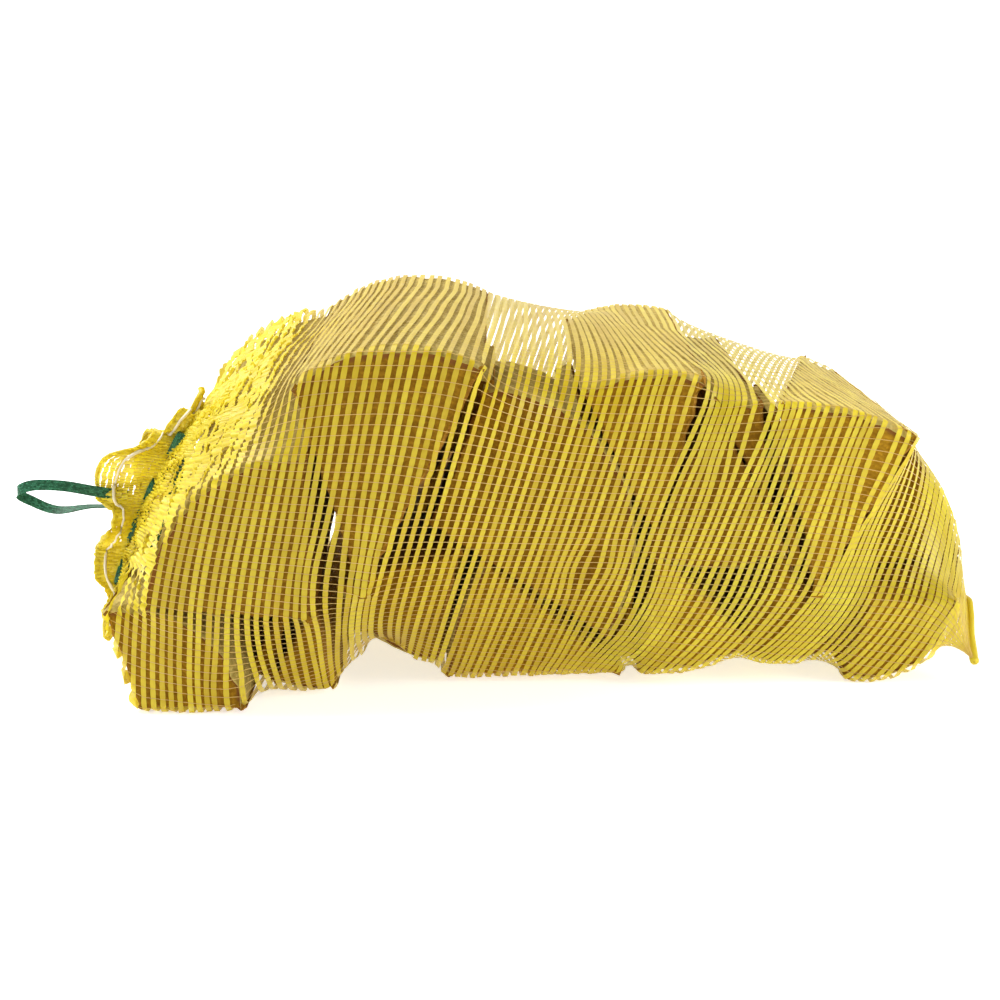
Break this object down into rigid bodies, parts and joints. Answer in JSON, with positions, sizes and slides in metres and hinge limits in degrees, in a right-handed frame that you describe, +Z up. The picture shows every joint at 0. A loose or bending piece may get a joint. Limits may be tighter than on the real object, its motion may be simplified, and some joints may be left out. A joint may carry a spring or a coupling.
{
  "type": "net of firewood",
  "caption": "Yellow net filled with split firewood lying crosswise, its gathered mouth drawn shut by a green flat tape with a pull loop, resting on its side.",
  "frame": {"origin": "on the floor under the middle of the filled net, its drawstring left out", "axes": "+X from the drawn mouth to the sewn bottom, +Y along the logs away from the viewer, +Z up"},
  "size_m": [0.6291, 0.3732, 0.239],
  "materials": {
    "net": "flat film tapes in an open knit, satin",
    "drawstring": "woven flat tape, satin",
    "wood": "raw split wood and bark"
  },
  "bodies": {
    "root": {"filled_net": "net", "drawstring_band": "drawstring", "drawstring_loop": "drawstring"}
  },
  "joints": []
}
